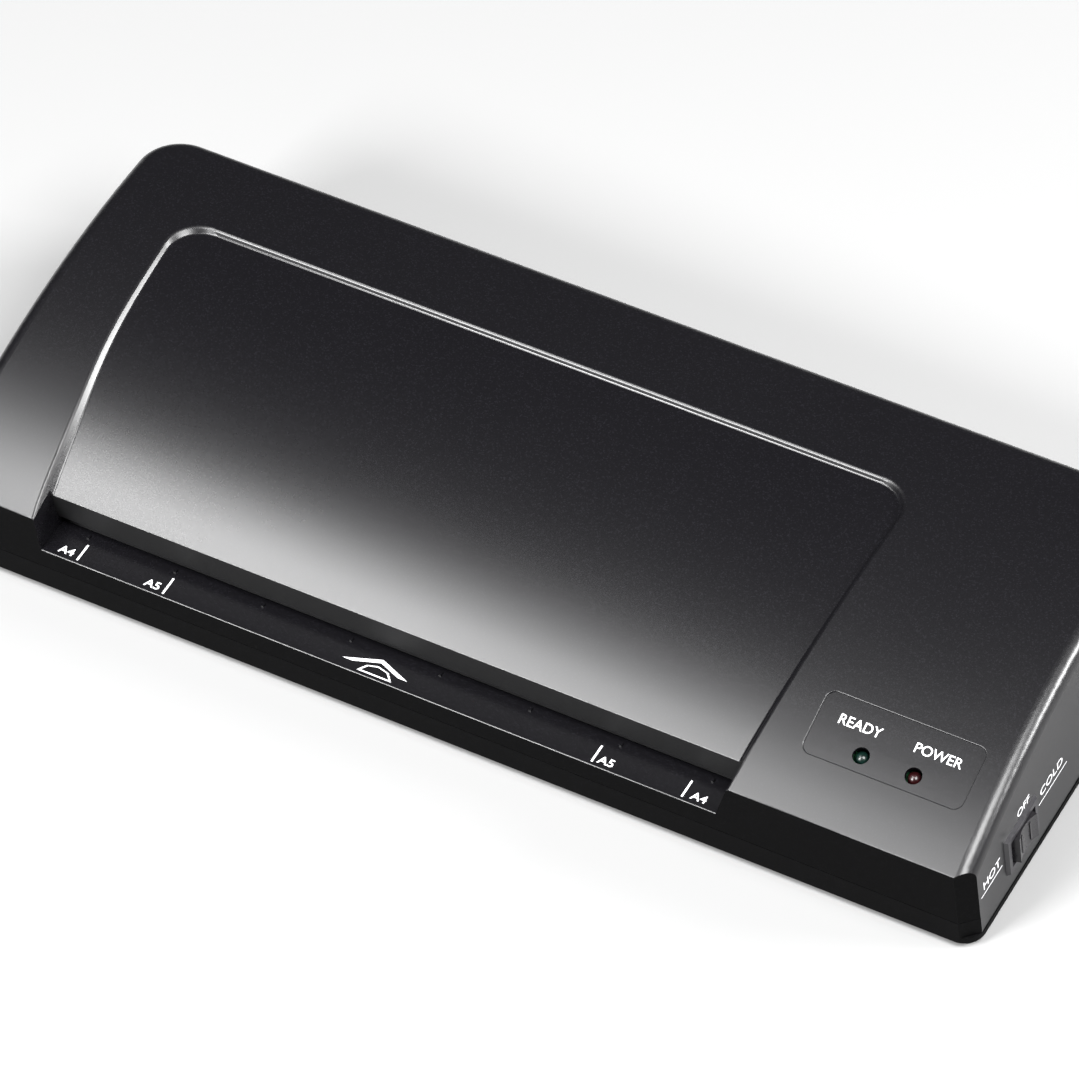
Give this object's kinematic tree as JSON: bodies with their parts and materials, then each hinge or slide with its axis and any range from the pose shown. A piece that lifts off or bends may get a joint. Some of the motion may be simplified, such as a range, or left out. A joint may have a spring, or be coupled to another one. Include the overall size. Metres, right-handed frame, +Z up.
{
  "type": "pouch laminator",
  "caption": "Desktop pouch laminator with a low curved housing, front feed slot, hot plates, driven rollers, rear exit slot, two lamps and a side rocker switch.",
  "frame": {"origin": "bottom centre of the outline, on the surface that the feet stand on", "axes": "+X towards the switch side, +Y towards the exit slot at the rear, +Z up; the feed slot faces -Y"},
  "size_m": [0.3642, 0.147, 0.0571],
  "materials": {
    "cover_black": "fine sparkle grain, satin black",
    "base_black": "fine grain, matt black",
    "foot_rubber": "matt",
    "screw_zinc": "zinc plated",
    "sheet_steel": "galvanised sheet",
    "bar_steel": "turned bar",
    "guide_plastic": "heat resistant, matt",
    "hot_aluminium": "extruded, clear anodised",
    "mica": "pressed mica sheet",
    "insulator": "unglazed",
    "thermostat_case": "moulded",
    "fuse_glass": "glazed sleeve",
    "silicone": "red brown silicone, satin",
    "gear_nylon": "natural nylon",
    "bush_bronze": "sintered bronze",
    "bush_plastic": "acetal",
    "spring_steel": "drawn wire",
    "motor_steel": "plated can",
    "board": "solder mask",
    "lamination": "varnished laminations",
    "capacitor": "sleeved",
    "terminal": "moulded",
    "ready_green": "tinted epoxy lens",
    "power_red": "tinted epoxy lens",
    "switch_case": "moulded",
    "rocker_black": "satin moulded",
    "terminal_brass": "tinned",
    "gland_nylon": "moulded"
  },
  "bodies": {
    "chassis": {"upper_housing": "cover_black", "lower_housing": "base_black", "rubber_feet": "foot_rubber", "housing_screws": "screw_zinc", "left_side_plate": "sheet_steel", "right_side_plate": "sheet_steel", "side_plate_screws": "screw_zinc", "tie_bars": "bar_steel", "tie_bar_screws": "screw_zinc", "entry_guide_lower": "guide_plastic", "entry_guide_upper": "guide_plastic", "exit_guide_lower": "guide_plastic", "exit_guide_upper": "guide_plastic", "hot_plate_lower": "hot_aluminium", "hot_plate_upper": "hot_aluminium", "mica_heater_lower": "mica", "mica_heater_upper": "mica", "heater_clamp_bars": "sheet_steel", "heater_insulators": "insulator", "thermostat": "thermostat_case", "thermal_fuse": "fuse_glass", "lower_roller_bushes": "bush_bronze", "pressure_springs": "spring_steel", "idler_pin": "bar_steel", "idler_clip": "spring_steel", "drive_motor": "motor_steel", "motor_bracket": "sheet_steel", "motor_standoffs": "bar_steel", "motor_screws": "screw_zinc", "circuit_board": "board", "board_screws": "screw_zinc", "transformer": "lamination", "capacitors": "capacitor", "heat_sink": "hot_aluminium", "terminal_block": "terminal", "lamp_board": "board", "lamp_board_posts": "guide_plastic", "ready_lamp": "ready_green", "power_lamp": "power_red", "switch_body": "switch_case", "switch_terminals": "terminal_brass", "cable_gland": "gland_nylon"},
    "lower_roller": {"lower_roller_shaft": "bar_steel", "lower_roller_sleeve": "silicone", "lower_roller_gear": "gear_nylon", "lower_roller_clips": "spring_steel"},
    "upper_bearings": {"upper_roller_bushes": "bush_plastic"},
    "upper_roller": {"upper_roller_shaft": "bar_steel", "upper_roller_sleeve": "silicone", "upper_roller_gear": "gear_nylon", "upper_roller_clips": "spring_steel"},
    "idler": {"idler_gear": "gear_nylon"},
    "pinion": {"motor_pinion": "gear_nylon", "motor_shaft": "bar_steel"},
    "rocker": {"switch_rocker": "rocker_black"}
  },
  "joints": [
    {"name": "lower_roller_spin", "type": "hinge", "parent": "chassis", "child": "lower_roller", "pos_m": [-0.02298, 0.0145, 0.014], "axis": [1, 0, 0], "continuous": true},
    {"name": "upper_roller_lift", "type": "slide", "parent": "chassis", "child": "upper_bearings", "axis": [0, 0, 1], "range_m": [0, 0.001], "stiffness_N_per_m": 3000, "springref_m": -0.003, "deforming": ["pressure_springs"]},
    {"name": "upper_roller_spin", "type": "hinge", "parent": "upper_bearings", "child": "upper_roller", "pos_m": [-0.02298, 0.0145, 0.03], "axis": [1, 0, 0], "continuous": true},
    {"name": "idler_spin", "type": "hinge", "parent": "chassis", "child": "idler", "pos_m": [0.10402, 0.03193, 0.01645], "axis": [1, 0, 0], "continuous": true},
    {"name": "motor_spin", "type": "hinge", "parent": "chassis", "child": "pinion", "pos_m": [0.10402, 0.04221, 0.02871], "axis": [1, 0, 0], "continuous": true},
    {"name": "switch_rocker_tilt", "type": "hinge", "parent": "chassis", "child": "rocker", "pos_m": [0.17699, -0.0405, 0.01915], "axis": [-0.0768, 0, 0.997], "range_deg": [-11, 11]}
  ],
  "couplings": [
    {"joint": "upper_roller_spin", "follows": "lower_roller_spin", "ratio": -1},
    {"joint": "idler_spin", "follows": "lower_roller_spin", "ratio": -0.83333},
    {"joint": "motor_spin", "follows": "lower_roller_spin", "ratio": 1.25}
  ]
}
